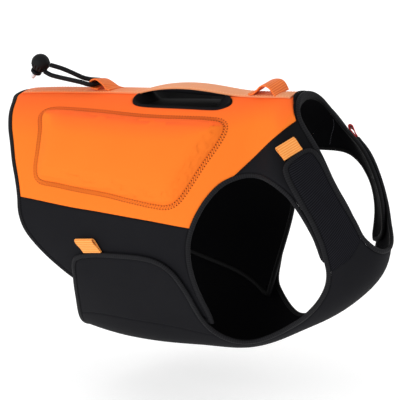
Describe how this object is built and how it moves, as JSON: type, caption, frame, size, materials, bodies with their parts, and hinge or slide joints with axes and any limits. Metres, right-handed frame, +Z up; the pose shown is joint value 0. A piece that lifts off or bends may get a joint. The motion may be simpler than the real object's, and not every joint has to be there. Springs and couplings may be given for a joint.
{
  "type": "dog neoprene float vest",
  "caption": "Neoprene float vest for a dog, filled out as worn: orange back with raised float panels, black chest, belly and neck wings, grip handle, lead loop and elastic cord",
  "frame": {"origin": "where the vest lies on the wearer's back, on the inside of the cloth at the spine, over the middle of the trunk's rear half", "axes": "+X towards the neck, +Y to the dog's left, +Z up"},
  "size_m": [0.4573, 0.2416, 0.2993],
  "materials": {
    "orange_neoprene": "smooth nylon jersey over neoprene",
    "black_neoprene": "smooth nylon jersey over neoprene",
    "binding": "folded stretch tape",
    "spine_webbing": "woven nylon webbing",
    "loop_webbing": "woven nylon webbing",
    "cord": "braided elastic cord",
    "toggle": "moulded plastic",
    "tip": "clear moulded plastic"
  },
  "bodies": {
    "root": {"back_panel": "orange_neoprene", "flank_panel_right": "black_neoprene", "flank_panel_left": "black_neoprene", "shoulder_yoke_right": "black_neoprene", "shoulder_yoke_left": "black_neoprene", "nape_collar": "black_neoprene", "belly_wing_right": "black_neoprene", "belly_wing_left": "black_neoprene", "neck_wing_right": "black_neoprene", "neck_wing_left": "black_neoprene", "belly_chest_panel": "black_neoprene", "binding_saddle": "binding", "binding_bib": "binding", "float_panel_right": "orange_neoprene", "float_panel_left": "orange_neoprene", "handle_insert": "black_neoprene", "spine_webbing": "spine_webbing", "handle_grip": "black_neoprene", "lead_loop": "loop_webbing", "rear_loop": "loop_webbing", "tab_belly_right": "loop_webbing", "tab_belly_left": "loop_webbing", "tab_neck_right": "loop_webbing", "tab_neck_left": "loop_webbing", "cord_upper": "cord", "cord_lower": "cord", "cord_toggle": "toggle", "toggle_button": "toggle", "cord_tip": "tip"}
  },
  "joints": []
}
